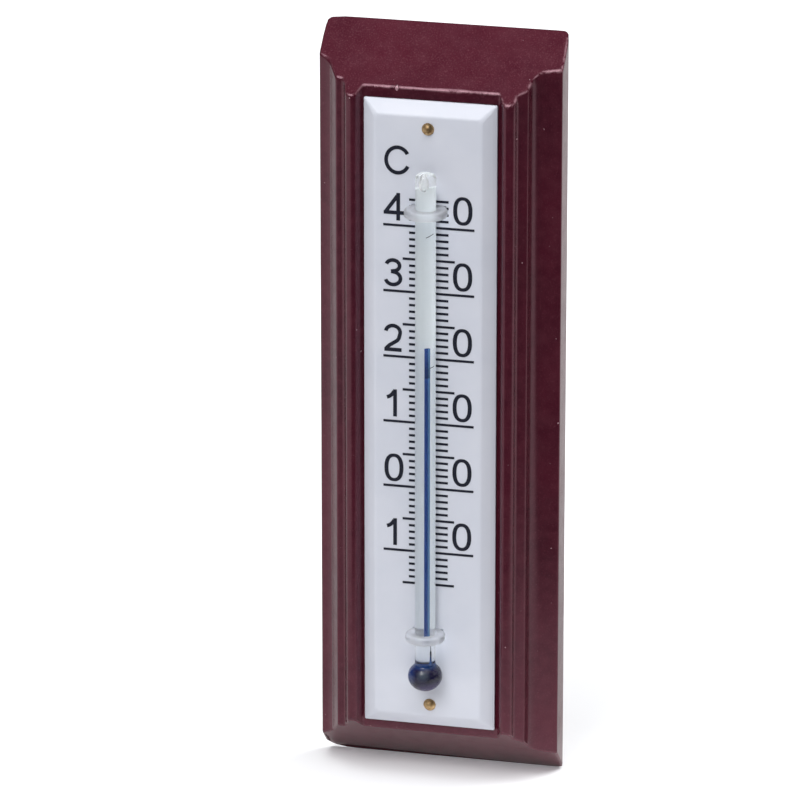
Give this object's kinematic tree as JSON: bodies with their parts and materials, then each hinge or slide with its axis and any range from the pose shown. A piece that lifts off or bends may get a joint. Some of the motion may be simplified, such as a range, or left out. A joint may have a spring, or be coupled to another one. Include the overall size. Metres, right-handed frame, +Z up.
{
  "type": "indoor thermometer",
  "caption": "Wall thermometer: painted moulded board with a bevelled white scale plate and a blue spirit glass stem held by two clear collars.",
  "frame": {"origin": "middle of the hanger's round hole, on the plane of the board's back", "axes": "+Z up along the board, +Y out of the back towards the wall, -Y towards the reader, +X to the reader's right"},
  "size_m": [0.0474, 0.0199, 0.15],
  "materials": {
    "painted_wood": "dark red satin paint over wood",
    "white_plastic": "white, satin",
    "ink": "blue-black print, matt",
    "clear_glass": "clear, polished",
    "opal_glass": "white opal, fused into the stem",
    "blue_spirit": "dark blue liquid",
    "clear_plastic": "clear, soft",
    "brass": "darkened, satin",
    "zinc_steel": "zinc plated, dull"
  },
  "bodies": {
    "root": {"backboard": "painted_wood", "scale_plate": "white_plastic", "graduation_marks": "ink", "scale_numerals": "ink", "unit_letter": "ink", "glass_stem": "clear_glass", "opal_stripe": "opal_glass", "bulb_spirit": "blue_spirit", "spirit_column": "blue_spirit", "upper_collar": "clear_plastic", "lower_collar": "clear_plastic", "plate_pins": "brass", "calibration_marks": "ink", "hanger_plate": "zinc_steel", "hanger_tacks": "zinc_steel"},
    "column_head": {"spirit_head": "blue_spirit"}
  },
  "joints": [
    {"name": "column_rise", "type": "slide", "parent": "root", "child": "column_head", "axis": [0, 0, 1], "range_m": [-0.04897, 0.02849], "deforming": ["spirit_column"]}
  ]
}
